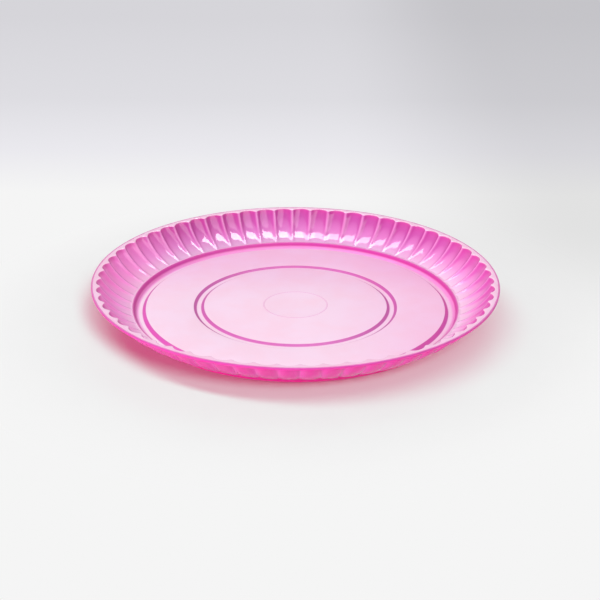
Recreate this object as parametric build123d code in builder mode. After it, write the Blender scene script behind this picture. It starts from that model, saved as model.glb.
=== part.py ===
"""Low-profile cake turntable: a fluted plastic plate that turns on a hidden ring of rollers.

The plate is one thin moulding.  From its edge inwards it has a flat flange, a curved wall pressed into
outward flutes that grow shallow at the foot of the wall, a narrow land, and a flat floor stiffened by two
ring grooves.  Under the floor a spigot turns in the hub of a shallow base disc.  Short rollers, spaced by
a flat cage, carry the plate on the base.  A guard ring on the base centres the cage.  A screw and a
washer keep the plate from lifting off, and rubber feet stop the base from sliding.

Millimetres, +Z up.  The origin is on the axis, on the surface that the feet stand on.
"""

import os
from math import acos, cos, radians, sin, sqrt

from build123d import *

# ---- cake plate ----
overall_diameter = 305.0
plate_wall = 1.8
well_depth = 22.4  # rim down to the floor that the cake stands on
land_step = 2.1  # land above that floor
land_width = 1.5
flange_width = 3.6  # flat edge outside the flutes
flute_count = 60
flute_start = 1.3  # angle of one ridge from +X
flute_depth = 2.9  # at the rim
flute_foot_depth = 1.2
flute_levels = 3  # sections that shape the fluted wall from its foot to the rim
wall_span = 22.5  # foot of the wall out to the ridges at the rim
wall_curve = 46.0  # radius of the wall's section
groove_slope = 2.3  # how far each side of a groove leans in
outer_groove_width = 9.0
outer_groove_depth = 2.2
middle_groove_width = 7.8
middle_groove_depth = 1.4
middle_groove_radius = 73.0
spigot_radius = 6.0
pilot_length = 3.4

# ---- roller ring ----
roller_count = 12
roller_diameter = 3.6
roller_length = 5.0
roller_clearance = 0.05  # to the base and to the plate
cage_width = 13.0
cage_thickness = 2.0
cage_lift = 0.3  # cage above the base
pocket_clearance = 0.15

# ---- base ----
base_floor = 1.6
base_wall = 1.6
running_gap = 0.8  # walls of the base below the plate
guard_clearance = 0.5  # cage to the guard ring
lip_clearance = 2.0  # cage to the base's outer wall
hub_wall = 1.6
hub_clearance = 0.08  # spigot in the hub
hub_end_clearance = 0.1  # washer below the hub
rib_count = 12
rib_width = 1.6
rib_gap = 2.0  # ribs stop short of the guard ring

# ---- feet and fasteners ----
foot_count = 4
foot_radius = 7.0
foot_height = 1.0
foot_edge = 2.0  # feet in from the edge of the base
washer_radius = 9.0
washer_thickness = 0.8
washer_clearance = 1.5  # around the washer, inside the hub
screw_radius = 1.5
screw_length = 4.0
screw_clearance = 0.05
screw_head_radius = 3.0
screw_head_height = 1.2
screw_head_recess = 0.1
screw_slot_width = 0.9
screw_slot_depth = 0.5

# ---- heights, from the surface up ----
base_bottom_z = foot_height
base_top_z = base_bottom_z + base_floor
roller_z = base_top_z + roller_clearance + roller_diameter / 2
under_z = roller_z + roller_diameter / 2 + roller_clearance
floor_z = under_z + plate_wall
land_z = floor_z + land_step
rim_z = floor_z + well_depth
outer_groove_z = floor_z - outer_groove_depth
middle_groove_z = floor_z - middle_groove_depth
cage_z = base_top_z + cage_lift
base_wall_top_z = under_z - running_gap
low_rib_top_z = outer_groove_z - plate_wall - running_gap
screw_head_z = base_bottom_z + screw_head_recess
washer_z = screw_head_z + screw_head_height
spigot_end_z = washer_z + washer_thickness
hub_under_z = spigot_end_z + hub_end_clearance
hub_top_z = hub_under_z + hub_wall

# ---- radii in plan ----
rim_radius = overall_diameter / 2
ridge_radius = rim_radius - flange_width - flute_depth
wall_foot_radius = ridge_radius - wall_span
outer_groove_radius = wall_foot_radius - land_width - outer_groove_width / 2
outer_groove_inside = outer_groove_radius - outer_groove_width / 2
middle_groove_inside = middle_groove_radius - middle_groove_width / 2
middle_groove_outside = middle_groove_radius + middle_groove_width / 2
track_radius = (middle_groove_outside + outer_groove_inside) / 2
cage_inner_radius = track_radius - cage_width / 2
cage_outer_radius = track_radius + cage_width / 2
guard_outer_radius = cage_inner_radius - guard_clearance
guard_inner_radius = guard_outer_radius - base_wall
base_radius = cage_outer_radius + lip_clearance + base_wall
foot_circle_radius = base_radius - foot_edge - foot_radius
hub_recess_radius = washer_radius + washer_clearance
hub_radius = hub_recess_radius + base_wall

# ---- centre of the arc that is the wall's section ----
wall_rise = rim_z - land_z
wall_chord = sqrt(wall_span**2 + wall_rise**2)
wall_bow = sqrt(wall_curve**2 - wall_chord**2 / 4)
wall_centre_radius = wall_foot_radius + wall_span / 2 - wall_bow * wall_rise / wall_chord
wall_centre_z = land_z + wall_rise / 2 + wall_bow * wall_span / wall_chord


def polar(radius, angle):
    """Point in plan, with the angle in degrees."""
    return (radius * cos(radians(angle)), radius * sin(radians(angle)))


def fluted_body(curve, bottom_z):
    """Solid inside a fluted wall surface, from bottom_z up to the rim."""
    pitch = 360 / flute_count
    low_turn = acos((wall_centre_z - bottom_z) / curve)
    high_turn = acos((wall_centre_z - rim_z) / curve)
    with BuildPart() as body:
        for level in range(flute_levels):
            share = level / (flute_levels - 1)
            turn = low_turn + (high_turn - low_turn) * share
            radius = wall_centre_radius + curve * sin(turn)
            depth = flute_foot_depth + (flute_depth - flute_foot_depth) * share
            with BuildSketch(Plane.XY.offset(wall_centre_z - curve * cos(turn))):
                with BuildLine():
                    for flute in range(flute_count):
                        start = flute_start + pitch * flute
                        ThreePointArc(
                            polar(radius, start),
                            polar(radius + depth, start + pitch / 2),
                            polar(radius, start + pitch),
                        )
                make_face()
        loft(ruled=True)
    return body.part


def disc(radius, bottom_z, top_z, hole_radius=0, mode=Mode.ADD):
    """Add to the open part, or cut from it, a flat disc or ring about the axis."""
    with BuildSketch(Plane.XY.offset(bottom_z)) as outline:
        Circle(radius)
        if hole_radius > 0:
            Circle(hole_radius, mode=Mode.SUBTRACT)
    extrude(outline.sketch, amount=top_z - bottom_z, mode=mode)


# ---- cake plate ----
with BuildPart() as cake_plate:
    add(fluted_body(wall_curve + plate_wall, land_z - plate_wall))
    disc(rim_radius, rim_z - plate_wall, rim_z)
    add(fluted_body(wall_curve, land_z), mode=Mode.SUBTRACT)
    disc(wall_foot_radius - land_width, land_z - plate_wall, land_z, mode=Mode.SUBTRACT)
    with BuildSketch(Plane.XZ):
        with BuildLine():
            Polyline(
                (0, floor_z),
                (middle_groove_inside, floor_z),
                (middle_groove_inside + groove_slope, middle_groove_z),
                (middle_groove_outside - groove_slope, middle_groove_z),
                (middle_groove_outside, floor_z),
                (outer_groove_inside, floor_z),
                (outer_groove_inside + groove_slope, outer_groove_z),
                (wall_foot_radius - land_width - groove_slope, outer_groove_z),
                (wall_foot_radius - land_width, land_z),
                (wall_foot_radius, land_z),
            )
            offset(amount=plate_wall, side=Side.RIGHT, closed=True, kind=Kind.INTERSECTION)
        make_face()
    revolve(axis=Axis.Z)
    disc(spigot_radius, spigot_end_z, under_z)
    disc(screw_radius + screw_clearance, spigot_end_z, spigot_end_z + pilot_length, mode=Mode.SUBTRACT)
cake_plate.part.label = "cake_plate"

# ---- base ----
with BuildPart() as turntable_base:
    disc(base_radius, base_bottom_z, base_top_z)
    disc(base_radius, base_top_z, base_wall_top_z, hole_radius=base_radius - base_wall)
    disc(guard_outer_radius, base_top_z, base_wall_top_z, hole_radius=guard_inner_radius)
    disc(hub_radius, base_top_z, hub_top_z)
    with BuildSketch(Plane.XZ):
        with BuildLine():
            Polyline(
                (hub_recess_radius, base_top_z),
                (hub_recess_radius, hub_top_z),
                (middle_groove_inside - plate_wall - running_gap, hub_top_z),
                (middle_groove_inside - plate_wall - running_gap, low_rib_top_z),
                (guard_inner_radius - rib_gap, low_rib_top_z),
                (guard_inner_radius - rib_gap, base_top_z),
                close=True,
            )
        make_face()
    rib = extrude(amount=rib_width / 2, both=True, mode=Mode.PRIVATE)
    with PolarLocations(0, rib_count):
        add(rib)
    disc(hub_recess_radius, base_bottom_z, hub_under_z, mode=Mode.SUBTRACT)
    disc(spigot_radius + hub_clearance, hub_under_z, hub_top_z, mode=Mode.SUBTRACT)
turntable_base.part.label = "turntable_base"

# ---- roller cage ----
with BuildPart() as roller_cage:
    disc(cage_outer_radius, cage_z, cage_z + cage_thickness, hole_radius=cage_inner_radius)
    with BuildSketch(Plane.XY.offset(cage_z)):
        with PolarLocations(track_radius, roller_count):
            Rectangle(roller_length + 2 * pocket_clearance, roller_diameter + 2 * pocket_clearance)
    extrude(amount=cage_thickness, mode=Mode.SUBTRACT)
roller_cage.part.label = "roller_cage"

# ---- retaining washer ----
with BuildPart() as retaining_washer:
    disc(washer_radius, washer_z, spigot_end_z, hole_radius=screw_radius + screw_clearance)
retaining_washer.part.label = "retaining_washer"

# ---- pivot screw ----
with BuildPart() as pivot_screw:
    disc(screw_head_radius, screw_head_z, washer_z)
    disc(screw_radius, washer_z, washer_z + screw_length)
    with BuildSketch(Plane.XY.offset(screw_head_z)):
        Rectangle(2 * screw_head_radius, screw_slot_width)
    extrude(amount=screw_slot_depth, mode=Mode.SUBTRACT)
pivot_screw.part.label = "pivot_screw"


def make_roller(number):
    """One short roller, lying along a radius in its pocket of the cage."""
    angle = 360 / roller_count * number
    inner_end = Vector(*polar(track_radius - roller_length / 2, angle), roller_z)
    outwards = Vector(*polar(1, angle), 0)
    with BuildPart() as roller:
        with BuildSketch(Plane(origin=inner_end, z_dir=outwards)):
            Circle(roller_diameter / 2)
        extrude(amount=roller_length)
    roller.part.label = f"roller_{number + 1:02d}"
    return roller.part


def make_foot(number):
    """One rubber disc under the base."""
    with BuildPart() as foot:
        with BuildSketch(Plane.XY):
            with Locations(polar(foot_circle_radius, 360 / foot_count * (number + 0.5))):
                Circle(foot_radius)
        extrude(amount=foot_height)
    foot.part.label = f"rubber_foot_{number + 1}"
    return foot.part


pieces = [cake_plate.part, turntable_base.part, roller_cage.part, retaining_washer.part, pivot_screw.part]
pieces += [make_roller(number) for number in range(roller_count)]
pieces += [make_foot(number) for number in range(foot_count)]

os.makedirs("parts", exist_ok=True)
for piece in pieces:
    export_step(piece, f"parts/{piece.label}.step")
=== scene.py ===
"""Looks for a low-profile cake turntable: a fluted pink plate on a hidden ring of rollers.

Metres, +Z up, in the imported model's own frame.
"""

from math import acos, cos, hypot, pi, radians, sin, sqrt, tan

import bmesh
import bpy
from mathutils import Matrix, Vector


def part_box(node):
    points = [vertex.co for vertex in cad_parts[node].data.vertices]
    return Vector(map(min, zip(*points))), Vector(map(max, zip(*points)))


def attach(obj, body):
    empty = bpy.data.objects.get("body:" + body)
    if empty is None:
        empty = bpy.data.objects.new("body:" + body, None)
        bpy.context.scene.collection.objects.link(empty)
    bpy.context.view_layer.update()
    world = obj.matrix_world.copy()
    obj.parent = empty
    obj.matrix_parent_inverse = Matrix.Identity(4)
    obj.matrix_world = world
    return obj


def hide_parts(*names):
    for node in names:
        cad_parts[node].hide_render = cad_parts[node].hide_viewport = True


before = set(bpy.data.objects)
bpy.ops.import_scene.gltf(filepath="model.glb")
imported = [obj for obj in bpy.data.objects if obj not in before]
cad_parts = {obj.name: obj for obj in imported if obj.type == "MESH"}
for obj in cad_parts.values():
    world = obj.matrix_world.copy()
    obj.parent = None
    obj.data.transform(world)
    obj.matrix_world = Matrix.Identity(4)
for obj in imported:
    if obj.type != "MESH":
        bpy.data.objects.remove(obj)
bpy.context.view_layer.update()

MM = 0.001

# ---- sizes of the plate's moulding ----
wall = 1.8 * MM
well_depth = 22.4 * MM  # rim down to the floor
land_step = 2.1 * MM  # land above the floor
land_width = 1.5 * MM
flange_width = 3.6 * MM  # flat edge outside the flutes
flute_count = 60
flute_start = radians(1.3)  # angle of one ridge from +X
flute_depth = 2.9 * MM  # at the rim
flute_foot_depth = 1.2 * MM
wall_span = 22.5 * MM  # foot of the wall out to the ridges at the rim
wall_curve = 46.0 * MM  # radius of the wall's section
groove_slope = 2.3 * MM  # how far each side of a groove leans in
outer_groove_width = 9.0 * MM
outer_groove_depth = 2.2 * MM
middle_groove_width = 7.8 * MM
middle_groove_depth = 1.4 * MM
middle_groove_radius = 73.0 * MM
spigot_radius = 6.0 * MM
pilot_radius = 1.55 * MM
pilot_length = 3.4 * MM
centre_ring_radius = 24.0 * MM  # faint raised ring in the middle of the floor
centre_ring_lift = 0.1 * MM
centre_ring_foot = 1.0 * MM  # its width at the floor
centre_ring_crown = 0.4 * MM  # its width on top

# ---- roundings of the moulding's corners ----
centre_ring_round = 0.2 * MM
groove_brim_round = 1.0 * MM
groove_bottom_round = 1.6 * MM
wall_foot_round = 2.2 * MM
wall_brow_round = 0.8 * MM
edge_round = 0.7 * MM
underside_round = 0.6 * MM
outside_foot_round = 0.8 * MM
spigot_root_round = 0.4 * MM
spigot_end_round = 0.3 * MM
pilot_round = 0.2 * MM
longest_cut = 0.48  # share of a side that one rounding may take

# ---- how the flutes run out beyond the wall ----
plain_land = 0.6 * MM  # inner part of the land, without flutes
plain_underside = 1.0 * MM  # underside's plain row, inside the outer foot of the wall
fade_gap = 0.1 * MM  # a plain row to the first fluted one
fade_depth = 0.05 * MM  # of a flute in that first row
flange_fade = 4.0 * MM  # ridges out to a row of the flange with fainter flutes
flange_fade_share = 0.4  # of the flutes' depth, in that row
under_flange_fade = 2.5 * MM  # the same under the flange
under_flange_fade_share = 0.5
edge_flat = 1.3 * MM  # round row of the flange, in from its edge

# ---- shape of a flute's hollow ----
ridge_round = 0.8  # share of half a flute's width where the rounding of the ridge begins
rim_hollow = 2.2  # power of the curve across a flute at its full depth
foot_hollow = 8.7  # power where no depth is left: flatter, with sharper ridges

# ---- rows and columns of the mesh ----
corner_steps = 4
fine_corner_steps = 5
inside_wall_steps = 22
outside_wall_steps = 14
plain_columns = 4  # to each flute
fluted_columns = 16  # to each flute, in the rows that carry the flutes

# ---- heights of the plate, from its box ----
plate_low, plate_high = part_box("cake_plate")
rim_z = plate_high.z
floor_z = rim_z - well_depth
land_z = floor_z + land_step
outer_groove_z = floor_z - outer_groove_depth
middle_groove_z = floor_z - middle_groove_depth
under_z = floor_z - wall
spigot_end_z = plate_low.z
pilot_top_z = spigot_end_z + pilot_length

# ---- radii of the plate, from its box ----
rim_radius = plate_high.x
ridge_radius = rim_radius - flange_width - flute_depth
wall_foot_radius = ridge_radius - wall_span
land_inside = wall_foot_radius - land_width
outer_groove_inside = land_inside - outer_groove_width
middle_groove_inside = middle_groove_radius - middle_groove_width / 2
middle_groove_outside = middle_groove_radius + middle_groove_width / 2

# ---- arc that is the section of the fluted wall ----
wall_rise = rim_z - land_z
wall_chord = hypot(wall_span, wall_rise)
wall_bow = sqrt(wall_curve**2 - wall_chord**2 / 4)
wall_centre_radius = wall_foot_radius + wall_span / 2 - wall_bow * wall_rise / wall_chord
wall_centre_z = land_z + wall_rise / 2 + wall_bow * wall_span / wall_chord


# ---------------------------------------------------------------- shapes

def soften(corners, steps=corner_steps):
    """Round a section's corners.  Each corner is (radius, height, flute depth, rounding)."""
    points = []
    for place, (r, z, depth, rounding) in enumerate(corners):
        if rounding == 0 or place in (0, len(corners) - 1):
            points.append((r, z, depth))
            continue
        here = Vector((r, z, depth))
        before = Vector(corners[place - 1][:3]) - here
        after = Vector(corners[place + 1][:3]) - here
        turn = pi - before.xy.angle(after.xy)
        cut = rounding * tan(turn / 2)
        start = here + before * min(longest_cut, cut / before.xy.length)
        end = here + after * min(longest_cut, cut / after.xy.length)
        for step in range(steps + 1):
            t = step / steps
            points.append(tuple(start * (1 - t) ** 2 + here * 2 * t * (1 - t) + end * t**2))
    return points


def wall_section(curve, low_z, high_z, steps):
    """Points up the arc of the fluted wall, each with its flute depth."""
    low_turn = acos((wall_centre_z - low_z) / curve)
    high_turn = acos((wall_centre_z - high_z) / curve)
    points = []
    for step in range(steps + 1):
        share = step / steps
        turn = low_turn + (high_turn - low_turn) * share
        radius = wall_centre_radius + curve * sin(turn)
        depth = flute_foot_depth + (flute_depth - flute_foot_depth) * share
        points.append((radius, wall_centre_z - curve * cos(turn), depth))
    return points


def ring_angles(columns_per_flute):
    """Angle of each column, and how near it is to a ridge: columns crowd towards the ridges."""
    pitch = 2 * pi / flute_count
    columns = []
    for flute in range(flute_count):
        for column in range(columns_per_flute):
            across = sin(pi / 2 * (2 * column / columns_per_flute - 1))
            columns.append((flute_start + pitch * (flute + 0.5 + across / 2), abs(across)))
    return columns


def hollow(nearness, depth):
    """How far out a flute reaches, as a share of its depth, by its nearness to a ridge."""
    share = min(1, depth / flute_depth)
    eased = nearness - max(0, nearness - ridge_round) ** 2 / (2 * (1 - ridge_round))
    power = rim_hollow + (foot_hollow - rim_hollow) * (1 - share)
    return 1 - (eased / ((1 + ridge_round) / 2)) ** power


def smooth_object(name, mesh):
    """Turn a bmesh into a smooth-shaded object of the scene."""
    data = bpy.data.meshes.new(name)
    mesh.to_mesh(data)
    mesh.free()
    data.shade_smooth()
    piece = bpy.data.objects.new(name, data)
    bpy.context.scene.collection.objects.link(piece)
    return piece


def bridge_rings(mesh, lower, upper):
    """Faces between two rings, one of which may be a point or have fewer columns."""
    few, many = (lower, upper) if len(lower) <= len(upper) else (upper, lower)
    if len(few) == 1:
        for place, corner in enumerate(many):
            mesh.faces.new((few[0], corner, many[(place + 1) % len(many)]))
        return
    ratio = len(many) // len(few)
    for place, corner in enumerate(few):
        edge = [many[(place * ratio + k) % len(many)] for k in range(ratio + 1)]
        mesh.faces.new([few[(place + 1) % len(few)], corner] + edge)


def moulded_mesh(name, section, fluted_from, fluted_to):
    """Closed mesh turned from a section that starts and ends on the axis.

    Rows from fluted_from up to fluted_to carry the flutes and have more columns than the rest.
    """
    columns = {count: ring_angles(count) for count in (plain_columns, fluted_columns)}
    mesh = bmesh.new()
    crest = mesh.verts.layers.float.new("crest")
    fluted = mesh.verts.layers.float.new("fluted")
    rings = []
    for row, (r, z, depth) in enumerate(section):
        if r == 0:
            rings.append([mesh.verts.new((0, 0, z))])
            continue
        count = fluted_columns if fluted_from <= row < fluted_to else plain_columns
        rings.append([])
        for angle, nearness in columns[count]:
            out = r + depth * hollow(nearness, depth)
            vertex = mesh.verts.new((out * cos(angle), out * sin(angle), z))
            vertex[fluted] = min(1, depth / flute_foot_depth)
            vertex[crest] = nearness**2 * vertex[fluted]
            rings[-1].append(vertex)
    for lower, upper in zip(rings, rings[1:]):
        bridge_rings(mesh, lower, upper)
    bmesh.ops.recalc_face_normals(mesh, faces=mesh.faces)
    return smooth_object(name, mesh)


def centre_ring_corners():
    """Corners of the faint ring in the middle of the floor, from the axis outwards."""
    foot = centre_ring_foot / 2
    crown = centre_ring_crown / 2
    top_z = floor_z + centre_ring_lift
    return [
        (0, floor_z, 0, 0),
        (centre_ring_radius - foot, floor_z, 0, centre_ring_round),
        (centre_ring_radius - crown, top_z, 0, centre_ring_round),
        (centre_ring_radius + crown, top_z, 0, centre_ring_round),
        (centre_ring_radius + foot, floor_z, 0, centre_ring_round),
    ]


def groove_corners(inside, outside, bottom_z, outer_z):
    """Four corners of a ring groove in the plate's floor."""
    return [
        (inside, floor_z, 0, groove_brim_round),
        (inside + groove_slope, bottom_z, 0, groove_bottom_round),
        (outside - groove_slope, bottom_z, 0, groove_bottom_round),
        (outside, outer_z, 0, groove_brim_round),
    ]


def thickened(corners):
    """Corners of the moulding's underside: the same section, one wall thickness lower."""
    under = []
    for place in range(1, len(corners) - 1):
        here = Vector(corners[place][:2])
        before = (here - Vector(corners[place - 1][:2])).normalized()
        after = (Vector(corners[place + 1][:2]) - here).normalized()
        low_before = Vector((before.y, -before.x))
        low_after = Vector((after.y, -after.x))
        mitre = (low_before + low_after).normalized()
        spot = here + mitre * wall / mitre.dot(low_before)
        under.append((spot.x, spot.y, 0, underside_round))
    return under


def fluted_rows(outside_wall):
    """Rows that carry the flutes: up the inside of the wall, round the flange, down the outside."""
    inside_wall = wall_section(wall_curve, land_z, rim_z, inside_wall_steps)
    foot = soften([
        (land_inside + plain_land + fade_gap, land_z, fade_depth, 0),
        (wall_foot_radius, land_z, flute_foot_depth, wall_foot_round),
        inside_wall[2] + (0,),
    ], fine_corner_steps)
    brow = soften([
        inside_wall[-2] + (0,),
        (ridge_radius, rim_z, flute_depth, wall_brow_round),
        (ridge_radius + flange_fade, rim_z, flute_depth * flange_fade_share, 0),
    ], fine_corner_steps)[1:]
    edge = soften([
        (rim_radius - edge_flat, rim_z, 0, 0),
        (rim_radius, rim_z, 0, edge_round),
        (rim_radius, rim_z - wall, 0, edge_round),
        (rim_radius - edge_flat, rim_z - wall, 0, 0),
    ])
    under_flange = outside_wall[-1][0] + under_flange_fade
    under_brow = soften([
        (under_flange, rim_z - wall, flute_depth * under_flange_fade_share, 0),
        outside_wall[-1] + (underside_round,),
        outside_wall[-2] + (0,),
    ])[:-1]
    under_land = outside_wall[0][0] - plain_underside + fade_gap
    under_foot = soften([
        outside_wall[1] + (0,),
        outside_wall[0] + (outside_foot_round,),
        (under_land, land_z - wall, fade_depth, 0),
    ])
    return foot + inside_wall[3:-1] + brow + edge + under_brow + outside_wall[-2:1:-1] + under_foot


def underside_rows(middle, outer, outside_wall):
    """Rows under the land and the floor, then round the spigot and up its pilot hole."""
    before_middle = (middle_groove_inside - middle_groove_width, floor_z, 0, 0)
    after_middle = (outer_groove_inside, floor_z, 0, 0)
    before_outer = (middle_groove_outside, floor_z, 0, 0)
    after_outer = (wall_foot_radius, land_z, 0, 0)
    middle_under = thickened([before_middle] + middle + [after_middle])
    outer_under = thickened([before_outer] + outer + [after_outer])
    under_land = (outside_wall[0][0] - plain_underside, land_z - wall, 0, 0)
    spigot = [
        (spigot_radius, under_z, 0, spigot_root_round),
        (spigot_radius, spigot_end_z, 0, spigot_end_round),
        (pilot_radius, spigot_end_z, 0, pilot_round),
        (pilot_radius, pilot_top_z, 0, 0),
        (0, pilot_top_z, 0, 0),
    ]
    return soften([under_land] + outer_under[::-1] + middle_under[::-1] + spigot)


def make_plate():
    """The whole dish: floor with two ring grooves, land, fluted wall, flange, and the spigot below."""
    middle = groove_corners(middle_groove_inside, middle_groove_outside, middle_groove_z, floor_z)
    outer = groove_corners(outer_groove_inside, land_inside, outer_groove_z, land_z)
    land_end = (wall_foot_radius, land_z, 0, 0)
    inner = soften(centre_ring_corners() + middle + outer + [land_end])[:-1]
    inner.append((land_inside + plain_land, land_z, 0))
    outside_wall = wall_section(wall_curve + wall, land_z - wall, rim_z - wall, outside_wall_steps)
    fluted = fluted_rows(outside_wall)
    section = inner + fluted + underside_rows(middle, outer, outside_wall)
    return moulded_mesh("cake_plate_moulding", section, len(inner), len(inner) + len(fluted))


# ---------------------------------------------------------------- materials
#
# A band says where a change of tint or gloss starts and where it is complete.
# A share says how much of the new tint is then mixed in.

def tint(red, green, blue):
    """Linear colour, with alpha, from the three values of a colour chip out of 255."""
    linear = []
    for level in (red, green, blue):
        share = level / 255
        linear.append(share / 12.92 if share <= 0.04045 else ((share + 0.055) / 1.055) ** 2.4)
    return (*linear, 1)


def grey(level):
    """Linear grey, with alpha."""
    return (level, level, level, 1)


def put(tree, kind, values=None, **settings):
    """Add a node.  Each value goes to the input of that name or number, as a constant or a link."""
    node = tree.nodes.new(kind)
    for name, setting in settings.items():
        setattr(node, name, setting)
    for name, value in (values or {}).items():
        if isinstance(value, bpy.types.NodeSocket):
            tree.links.new(value, node.inputs[name])
        else:
            node.inputs[name].default_value = value
    return node


def maths(tree, operation, *values):
    """Result of one sum on one or two values."""
    return put(tree, "ShaderNodeMath", dict(enumerate(values)), operation=operation).outputs[0]


def times(tree, first, second):
    """Product of two values."""
    return maths(tree, "MULTIPLY", first, second)


def between(tree, value, low, high, to_low=0.0, to_high=1.0):
    """The value moved smoothly from one range to another, and held at its ends."""
    sockets = {
        "Value": value, "From Min": low, "From Max": high, "To Min": to_low, "To Max": to_high,
    }
    node = put(tree, "ShaderNodeMapRange", sockets, interpolation_type="SMOOTHSTEP")
    return node.outputs["Result"]


def ramp(tree, value, stops):
    """Colour read off a scale of (position, colour) stops."""
    node = put(tree, "ShaderNodeValToRGB", {"Fac": value})
    while len(node.color_ramp.elements) < len(stops):
        node.color_ramp.elements.new(0.5)
    for element, (position, colour) in zip(node.color_ramp.elements, stops):
        element.position = position
        element.color = colour
    return node.outputs["Color"]


def blend_colours(tree, share, first, second, kind="MIX"):
    """Two colours mixed by a share."""
    sockets = {0: share, 6: first, 7: second}
    return put(tree, "ShaderNodeMix", sockets, data_type="RGBA", blend_type=kind).outputs[2]


def new_material(name):
    """Empty material with its output node: returns material, tree and output."""
    material = bpy.data.materials.new(name)
    material.use_nodes = True
    tree = material.node_tree
    tree.nodes.clear()
    return material, tree, put(tree, "ShaderNodeOutputMaterial")


def effect_group(name, inputs, outputs):
    """Start a reusable effect: returns its tree, its inputs and its output node."""
    tree = bpy.data.node_groups.new(name, "ShaderNodeTree")
    for label, kind, value in inputs:
        socket = tree.interface.new_socket(label, in_out="INPUT", socket_type=kind)
        if value is not None:
            socket.default_value = value
    for label, kind in outputs:
        tree.interface.new_socket(label, in_out="OUTPUT", socket_type=kind)
    return tree, tree.nodes.new("NodeGroupInput"), tree.nodes.new("NodeGroupOutput")


def make_moulding_effect():
    """Cloudy colour, fine grain and long scuffs of an injection-moulded surface."""
    tree, given, result = effect_group(
        "moulded_surface",
        [
            ("Vector", "NodeSocketVector", None),
            ("Cloud Size", "NodeSocketFloat", 60.0),
            ("Grain Size", "NodeSocketFloat", 900.0),
        ],
        [
            ("Cloud", "NodeSocketFloat"),
            ("Grain", "NodeSocketFloat"),
            ("Scuff", "NodeSocketFloat"),
        ],
    )
    scuff_band = (0.55, 0.75)  # only the highest part of the noise shows as scuffs
    where = given.outputs["Vector"]
    cloud_size = given.outputs["Cloud Size"]
    grain_size = given.outputs["Grain Size"]
    cloud = put(tree, "ShaderNodeTexNoise", {
        "Vector": where, "Scale": cloud_size, "Detail": 3.0, "Roughness": 0.5,
    })
    grain = put(tree, "ShaderNodeTexNoise", {
        "Vector": where, "Scale": grain_size, "Detail": 2.0, "Roughness": 0.6,
    })
    stretch = put(tree, "ShaderNodeMapping", {
        "Vector": where, "Scale": (1.0, 9.0, 1.0), "Rotation": (0, 0, 0.6),
    })
    scuff = put(tree, "ShaderNodeTexNoise", {
        "Vector": stretch.outputs["Vector"], "Scale": cloud_size, "Detail": 6.0, "Roughness": 0.7,
    })
    tree.links.new(cloud.outputs["Fac"], result.inputs["Cloud"])
    tree.links.new(grain.outputs["Fac"], result.inputs["Grain"])
    tree.links.new(between(tree, scuff.outputs["Fac"], *scuff_band), result.inputs["Scuff"])
    return tree


def use_effect(tree, effect, **values):
    """Place an effect group in a material."""
    node = put(tree, "ShaderNodeGroup", node_tree=effect)
    for name, value in values.items():
        socket = node.inputs[name.replace("_", " ")]
        if isinstance(value, bpy.types.NodeSocket):
            tree.links.new(value, socket)
        else:
            socket.default_value = value
    return node.outputs


def floor_colour(tree, where, out, flatness, fluted):
    """Pink of the floor, its grooves and the land, with painted light and shade: palest where it lies
    flat.
    """
    right_band = (10 * MM, 120 * MM)
    right_share = 0.5
    back_band = (0.0, 100 * MM)
    land_band = (land_inside - 0.8 * MM, land_inside)
    land_share = 0.8
    groove_side_band = (land_inside - 4.5 * MM, land_inside - 3.0 * MM)
    groove_depth_band = (floor_z + 0.4 * MM, floor_z - 1.2 * MM)
    groove_share = 0.85
    # Partly painted light: paler where flat, for the lit table showing through the plastic; deeper
    # where steep, for the dye's longer path through the wall.
    colour = ramp(tree, flatness, [
        (0.47, tint(206, 56, 160)),
        (0.74, tint(204, 76, 168)),
        (0.87, tint(192, 84, 164)),
        (0.95, tint(222, 148, 202)),
        (1.0, tint(246, 214, 236)),
    ])
    # Painted shade: the floor turns a darker pink towards its right.
    painted_shade_to_right = times(tree, between(tree, where["X"], *right_band), right_share)
    colour = blend_colours(tree, painted_shade_to_right, colour, tint(252, 204, 238), "MULTIPLY")
    # Painted reflection: the floor turns pinker towards the back, where it mirrors the back wall.
    painted_tint_to_back = between(tree, where["Y"], *back_band)
    colour = blend_colours(tree, painted_tint_to_back, colour, tint(250, 226, 243), "MULTIPLY")
    # Painted shade: a dark pink line on the land at the foot of the wall.
    painted_land_shade = times(tree, between(tree, out, *land_band), between(tree, fluted, 0.5, 0.0))
    colour = blend_colours(tree, times(tree, painted_land_shade, land_share), colour, tint(208, 74, 168))
    # Painted light: paler pink in the outer groove's bottom, against its far side.
    far_side = between(tree, out, *groove_side_band)
    painted_groove_light = times(tree, far_side, between(tree, where["Z"], *groove_depth_band))
    return blend_colours(tree, times(tree, painted_groove_light, groove_share), colour, tint(240, 146, 214))


def wall_colour(tree, where, flatness):
    """Pink of the fluted wall and the flange, with painted light and shade: deepest where it stands
    up.
    """
    back_band = (30 * MM, 120 * MM)
    left_band = (-90 * MM, -140 * MM)
    left_share = 0.5
    flange_band = (rim_z - 1.0 * MM, rim_z - 0.4 * MM)
    flat_band = (0.3, 0.8)
    # Partly painted shade: deeper pink on steep faces, for the dye's longer path and the shade there;
    # paler where flat.
    colour = ramp(tree, flatness, [
        (0.20, tint(198, 61, 154)),
        (0.46, tint(206, 71, 166)),
        (0.64, tint(212, 94, 179)),
        (0.80, tint(238, 148, 214)),
        (0.93, tint(247, 200, 234)),
    ])
    # Painted shade: the wall turns greyer and darker towards the back.
    painted_tint_to_back = between(tree, where["Y"], *back_band)
    colour = blend_colours(tree, painted_tint_to_back, colour, tint(231, 212, 233), "MULTIPLY")
    # Painted light: the wall turns a paler pink towards the left.
    painted_light_to_left = times(tree, between(tree, where["X"], *left_band), left_share)
    colour = blend_colours(tree, painted_light_to_left, colour, tint(255, 146, 222))
    # Painted light: paler pink on the flat flange at the rim, like the paler flat floor.
    at_rim = between(tree, where["Z"], *flange_band)
    on_flange = times(tree, at_rim, between(tree, flatness, *flat_band))
    return blend_colours(tree, on_flange, colour, tint(253, 208, 237))


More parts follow.
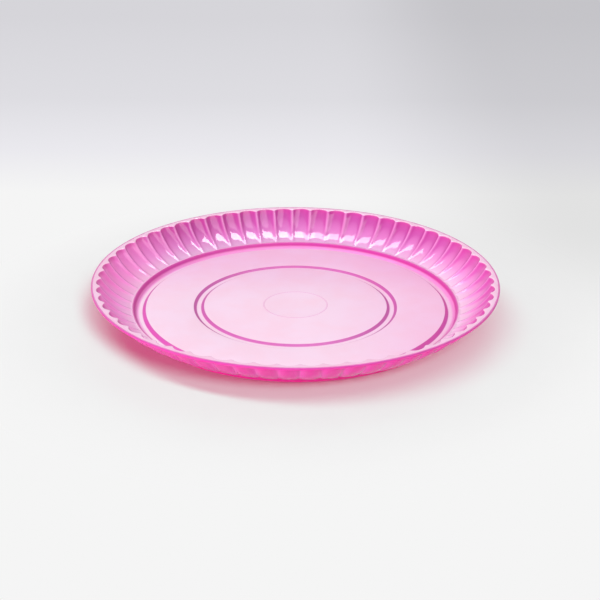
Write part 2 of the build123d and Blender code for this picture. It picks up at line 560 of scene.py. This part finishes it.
def plate_finish(tree, where, facing, cloud):
    """Colour and roughness of the plate: painted highlights on the ridges, painted shade in the
    hollows under the rim, and a vivid outside painted as light glowing through the wall.
    """
    brow_band = (rim_z - 4.5 * MM, rim_z - 0.6 * MM)
    steep_band = (0.92, 0.65)
    ridge_band = (0.55, 1.0)
    ridge_share = 0.5
    valley_band = (0.8, 0.2)
    valley_share = 0.7
    outside_band = (0.05, -0.05)
    cloud_band = (0.3, 0.7)
    cloud_shade = (0.94, 1.0)
    flat_band = (0.9, 1.0)
    flat_roughness = (0.5, 0.46)
    wall_roughness = 0.05
    flatness = maths(tree, "ABSOLUTE", facing)
    crest = put(tree, "ShaderNodeAttribute", attribute_name="crest").outputs["Fac"]
    fluted = put(tree, "ShaderNodeAttribute", attribute_name="fluted").outputs["Fac"]
    across = put(tree, "ShaderNodeCombineXYZ", {"X": where["X"], "Y": where["Y"]}).outputs["Vector"]
    out = put(tree, "ShaderNodeVectorMath", {0: across}, operation="LENGTH").outputs["Value"]
    on_floor = floor_colour(tree, where, out, flatness, fluted)
    colour = blend_colours(tree, fluted, on_floor, wall_colour(tree, where, flatness))

    steep = between(tree, flatness, *steep_band)
    # Painted highlight: pale pink along the steep ridges between the flutes.
    painted_ridge_highlight = times(tree, between(tree, crest, *ridge_band), times(tree, steep, ridge_share))
    colour = blend_colours(tree, painted_ridge_highlight, colour, tint(247, 160, 226))
    # Painted shade: deep pink in the flutes' hollows just under the rim.
    brow = times(tree, between(tree, where["Z"], *brow_band), steep)
    painted_hollow_shade = times(tree, between(tree, crest, *valley_band), brow)
    colour = blend_colours(tree, times(tree, painted_hollow_shade, valley_share), colour, tint(206, 66, 158))
    # Painted light: vivid magenta on the downward faces, paler at the ridges, for light glowing
    # through the wall.
    painted_skirt_glow = blend_colours(tree, crest, tint(250, 34, 174), tint(252, 84, 196))
    colour = blend_colours(tree, between(tree, facing, *outside_band), colour, painted_skirt_glow)
    patchy = between(tree, cloud, *cloud_band, *cloud_shade)
    shade = put(tree, "ShaderNodeCombineColor", {"Red": 1.0, "Green": patchy, "Blue": patchy})
    colour = blend_colours(tree, 1.0, colour, shade.outputs["Color"], "MULTIPLY")
    floor_roughness = between(tree, flatness, *flat_band, *flat_roughness)
    return colour, between(tree, fluted, 0.0, 1.0, floor_roughness, wall_roughness)


def make_plate_plastic(moulded):
    """Glossy translucent pink, which dyes the shadows that it throws."""
    shadow_dye = (0.82, 0.02, 0.42, 1)
    scuff_roughness = 0.02
    material, tree, output = new_material("pink_plate_plastic")
    place = put(tree, "ShaderNodeTexCoord").outputs
    surface = use_effect(
        tree, moulded, Vector=place["Object"], Cloud_Size=45.0, Grain_Size=700.0
    )
    where = put(tree, "ShaderNodeSeparateXYZ", {"Vector": place["Object"]}).outputs
    facing = put(tree, "ShaderNodeSeparateXYZ", {"Vector": place["Normal"]}).outputs["Z"]
    colour, roughness = plate_finish(tree, where, facing, surface["Cloud"])
    scuffed = between(tree, surface["Scuff"], 0.0, 1.0, 0.0, scuff_roughness)
    bump = put(tree, "ShaderNodeBump", {
        "Height": surface["Cloud"], "Strength": 0.1, "Distance": 0.6 * MM,
    })
    plastic = put(tree, "ShaderNodeBsdfPrincipled", {
        "Base Color": colour,
        "Roughness": maths(tree, "ADD", roughness, scuffed),
        "IOR": 1.55,
        "Normal": bump.outputs["Normal"],
    })
    through = put(tree, "ShaderNodeBsdfTransparent", {"Color": shadow_dye})
    rays = put(tree, "ShaderNodeLightPath")
    mixed = put(tree, "ShaderNodeMixShader", {
        0: rays.outputs["Is Shadow Ray"], 1: plastic.outputs[0], 2: through.outputs[0],
    })
    tree.links.new(mixed.outputs[0], output.inputs["Surface"])
    return material


def make_satin_plastic(name, moulded, light, dark, roughness, grain):
    """Satin moulded plastic with a fine grain."""
    scuff_roughness = 0.12
    material, tree, output = new_material(name)
    place = put(tree, "ShaderNodeTexCoord").outputs["Object"]
    surface = use_effect(tree, moulded, Vector=place, Cloud_Size=70.0, Grain_Size=grain)
    colour = blend_colours(tree, surface["Cloud"], light, dark)
    gloss = between(tree, surface["Scuff"], 0.0, 1.0, roughness, roughness + scuff_roughness)
    bump = put(tree, "ShaderNodeBump", {
        "Height": surface["Grain"], "Strength": 0.25, "Distance": 0.1 * MM,
    })
    plastic = put(tree, "ShaderNodeBsdfPrincipled", {
        "Base Color": colour, "Roughness": gloss, "Normal": bump.outputs["Normal"],
    })
    tree.links.new(plastic.outputs[0], output.inputs["Surface"])
    return material


def make_turned_steel(moulded):
    """Plated steel with faint turning marks round the axis."""
    polished_roughness = 0.22
    turned_roughness = 0.36
    dark_plating = (0.55, 0.56, 0.58, 1)
    light_plating = (0.68, 0.68, 0.70, 1)
    material, tree, output = new_material("plated_steel")
    place = put(tree, "ShaderNodeTexCoord").outputs["Object"]
    surface = use_effect(tree, moulded, Vector=place, Cloud_Size=200.0, Grain_Size=2500.0)
    rings = put(tree, "ShaderNodeTexWave", {
        "Vector": place, "Scale": 1400.0, "Distortion": 2.0, "Detail": 2.0,
    }, wave_type="RINGS", rings_direction="Z").outputs["Fac"]
    colour = blend_colours(tree, surface["Cloud"], dark_plating, light_plating)
    gloss = between(tree, rings, 0.0, 1.0, polished_roughness, turned_roughness)
    bump = put(tree, "ShaderNodeBump", {"Height": rings, "Strength": 0.2, "Distance": 0.04 * MM})
    steel = put(tree, "ShaderNodeBsdfPrincipled", {
        "Base Color": colour, "Metallic": 1.0, "Roughness": gloss, "Normal": bump.outputs["Normal"],
    })
    tree.links.new(steel.outputs[0], output.inputs["Surface"])
    return material


def finish_node(name, material):
    """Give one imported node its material."""
    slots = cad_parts[name].data.materials
    slots.clear()
    slots.append(material)


# ---------------------------------------------------------------- studio

backdrop_pale = grey(0.913)
sweep_half_width = 30.0
sweep_depth = 1.2  # axis back to where the table starts to curve up
sweep_bend = 0.5  # radius of that curve
sweep_steps = 24


def backdrop_colour(tree, spot):
    """Grey of the backdrop, with painted fall-off of light: darker far behind the plate and to its
    right, pale at the sides.
    """
    right_band = (0.03, 0.26)
    behind_band = (-0.1, 0.2)
    right_share = 0.17
    far_side_band = (0.6, 1.1)
    # Painted fall-off of light: the backdrop darkens further behind.
    colour = ramp(tree, spot["Y"], [
        (0.27, backdrop_pale),
        (0.40, (0.823, 0.815, 0.855, 1)),
        (0.59, (0.730, 0.723, 0.760, 1)),
        (1.0, (0.672, 0.665, 0.700, 1)),
    ])
    # Painted shade: the backdrop darkens behind the plate and to its right.
    painted_shade_to_right = between(tree, spot["X"], *right_band)
    painted_shade_aside = times(tree, painted_shade_to_right, between(tree, spot["Y"], *behind_band))
    colour = blend_colours(tree, times(tree, painted_shade_aside, right_share), colour, grey(0))
    sideways = maths(tree, "ABSOLUTE", spot["X"])
    return blend_colours(tree, between(tree, sideways, *far_side_band), colour, backdrop_pale)


def make_table_material():
    """Pale table that takes the plate's shadow, and further out a backdrop with painted fall-off of
    light.
    """
    shadow_band = (0.155, 0.26)  # distance from the axis where the table gives way to the backdrop
    material, tree, output = new_material("pale_table")
    place = put(tree, "ShaderNodeTexCoord").outputs["Object"]
    fine = put(tree, "ShaderNodeTexNoise", {"Vector": place, "Scale": 30.0, "Detail": 3.0})
    table = put(tree, "ShaderNodeBsdfPrincipled", {
        "Base Color": blend_colours(tree, fine.outputs["Fac"], grey(0.885), grey(0.905)),
        "Roughness": 0.6,
        "Specular IOR Level": 0.04,
    })
    spot = put(tree, "ShaderNodeSeparateXYZ", {"Vector": place}).outputs
    pale = put(tree, "ShaderNodeEmission", {"Color": backdrop_colour(tree, spot), "Strength": 1.0})
    away = put(tree, "ShaderNodeVectorMath", {0: place}, operation="LENGTH").outputs["Value"]
    rays = put(tree, "ShaderNodeLightPath").outputs
    looked_at = maths(tree, "MAXIMUM", rays["Is Camera Ray"], rays["Is Glossy Ray"])
    looked_at = maths(tree, "MAXIMUM", looked_at, rays["Is Transmission Ray"])
    seen = times(tree, looked_at, between(tree, away, *shadow_band))
    mixed = put(tree, "ShaderNodeMixShader", {0: seen, 1: table.outputs[0], 2: pale.outputs[0]})
    tree.links.new(mixed.outputs[0], output.inputs["Surface"])
    return material


def make_sweep():
    """Plain pale table, and a backdrop that curves up behind it."""
    mesh = bmesh.new()
    line = [(-sweep_half_width, 0.0), (sweep_depth, 0.0)]
    for step in range(1, sweep_steps + 1):
        turn = pi / 2 * step / sweep_steps
        line.append((sweep_depth + sweep_bend * sin(turn), sweep_bend - sweep_bend * cos(turn)))
    ends = (-sweep_half_width, sweep_half_width)
    rows = [[mesh.verts.new((x, y, z)) for x in ends] for y, z in line]
    for low, high in zip(rows, rows[1:]):
        mesh.faces.new((low[0], low[1], high[1], high[0]))
    sweep = smooth_object("table_sweep", mesh)
    sweep.data.materials.append(make_table_material())


def make_lamp(name, place, aim, size, power):
    """Soft rectangular lamp at a place, turned to a point."""
    data = bpy.data.lights.new(name, "AREA")
    data.shape = "RECTANGLE"
    data.size, data.size_y = size
    data.energy = power
    lamp = bpy.data.objects.new(name, data)
    lamp.location = place
    lamp.rotation_euler = (Vector(aim) - Vector(place)).to_track_quat("-Z", "Y").to_euler()
    bpy.context.scene.collection.objects.link(lamp)
    return lamp


def make_gloss_strip(name, place, size, power, turn=0.0):
    """Lamp that looks straight down and is seen only as a highlight."""
    lamp = make_lamp(name, place, (place[0], place[1], 0.0), size, power)
    lamp.rotation_euler.z = radians(turn)
    lamp.visible_diffuse = False


def make_far_lamp(name, towards, spread, strength):
    """Far lamp in one direction; its spread in degrees sets how soft its shadows are."""
    data = bpy.data.lights.new(name, "SUN")
    data.energy = strength
    data.angle = radians(spread)
    lamp = bpy.data.objects.new(name, data)
    lamp.rotation_euler = Vector(towards).to_track_quat("Z", "Y").to_euler()
    bpy.context.scene.collection.objects.link(lamp)
    lamp.visible_glossy = False
    return lamp


def light_only(lamp, piece):
    """Keep a lamp to one piece, without shadows, as light that a thin pink wall lets through."""
    lamp.data.use_shadow = False
    lit = bpy.data.collections.new(lamp.name + "_lights")
    lit.objects.link(piece)
    lamp.light_linking.receiver_collection = lit


def make_lights(plate):
    """Soft lamps that light and shade, and strips seen only as gloss."""
    softbox = make_lamp(
        "wide_softbox", place=(-0.45, -0.90, 2.4), aim=(0.0, 0.0, 0.0), size=(3.4, 0.5), power=44.0
    )
    softbox.visible_glossy = False
    glow = make_far_lamp("plate_glow_lamp", towards=(-1.0, -0.22, 0.12), spread=40, strength=2.1)
    light_only(glow, plate)
    make_far_lamp("low_right_lamp", towards=(0.45, -1.25, 1.0), spread=18, strength=1.82)
    make_far_lamp("low_back_lamp", towards=(0.30, 1.10, 1.0), spread=30, strength=0.30)
    make_gloss_strip("gloss_strip", place=(0.18, 0.27, 0.95), size=(0.46, 0.24), power=3.7)
    make_gloss_strip(
        "side_gloss_strip", place=(-0.30, 0.39, 0.95), size=(0.62, 0.22), power=2.7, turn=-25
    )
    make_gloss_strip("side_card", place=(0.75, -0.45, 0.95), size=(1.3, 0.9), power=8.0)


def make_surround():
    """Pale surround: bright to the camera, dimmer in reflections, and faint as a light."""
    to_camera = 0.947
    in_gloss = 0.4
    as_light = 0.035
    world = bpy.data.worlds.new("pale_studio")
    bpy.context.scene.world = world
    world.use_nodes = True
    tree = world.node_tree
    tree.nodes.clear()
    rays = put(tree, "ShaderNodeLightPath").outputs
    seen = times(tree, rays["Is Camera Ray"], to_camera)
    mirrored = times(tree, rays["Is Glossy Ray"], in_gloss)
    strength = maths(tree, "ADD", maths(tree, "ADD", seen, mirrored), as_light)
    surround = put(tree, "ShaderNodeBackground", {"Color": grey(0.93), "Strength": strength})
    output = put(tree, "ShaderNodeOutputWorld")
    tree.links.new(surround.outputs[0], output.inputs["Surface"])


def make_camera():
    """Camera above the front edge, turned a little off the object's middle."""
    reach = 7.0 * rim_radius  # middle of the rim to the camera
    rise = radians(23.01)  # camera above the level of the rim
    down = radians(23.93)  # its line of sight below the level
    yaw = radians(0.20)
    roll = radians(0.43)
    sensor_width = 36.0  # millimetres
    render_width = 600  # pixels
    focal_pixels = 1420  # focal length, in pixels of the render
    forward = Vector((sin(yaw) * cos(down), cos(yaw) * cos(down), -sin(down)))
    right = forward.cross(Vector((0, 0, 1))).normalized()
    up = right.cross(forward)
    across = right * cos(roll) + up * sin(roll)
    upward = up * cos(roll) - right * sin(roll)
    turned = Matrix((across, upward, -forward)).transposed().to_4x4()
    data = bpy.data.cameras.new("studio_camera")
    data.sensor_width = sensor_width
    data.lens = sensor_width * focal_pixels / render_width
    camera = bpy.data.objects.new("studio_camera", data)
    spot = (0, -reach * cos(rise), rim_z + reach * sin(rise))
    camera.matrix_world = Matrix.Translation(spot) @ turned
    bpy.context.scene.collection.objects.link(camera)
    bpy.context.scene.camera = camera


# ---------------------------------------------------------------- the object

make_camera()
moulded_surface = make_moulding_effect()

cake_plate = make_plate()
cake_plate.data.materials.append(make_plate_plastic(moulded_surface))
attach(cake_plate, "plate")
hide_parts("cake_plate")
cake_plate.visible_diffuse = False  # its pink stays off the table, apart from its shadow

base_plastic = make_satin_plastic(
    "base_plastic", moulded_surface,
    light=tint(240, 226, 235), dark=tint(234, 218, 228), roughness=0.38, grain=1800.0,
)
bearing_plastic = make_satin_plastic(
    "bearing_plastic", moulded_surface,
    light=tint(243, 243, 238), dark=tint(236, 236, 230), roughness=0.3, grain=2400.0,
)
foot_rubber = make_satin_plastic(
    "foot_rubber", moulded_surface,
    light=tint(206, 206, 204), dark=tint(194, 194, 192), roughness=0.62, grain=3000.0,
)
steel = make_turned_steel(moulded_surface)

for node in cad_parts:
    if node.startswith("rubber_foot"):
        finish_node(node, foot_rubber)
    elif node.startswith("roller"):
        finish_node(node, bearing_plastic)
    elif node == "turntable_base":
        finish_node(node, base_plastic)
    elif node in ("retaining_washer", "pivot_screw"):
        finish_node(node, steel)

make_sweep()
make_lights(cake_plate)
make_surround()
bpy.context.scene.view_settings.view_transform = "Standard"
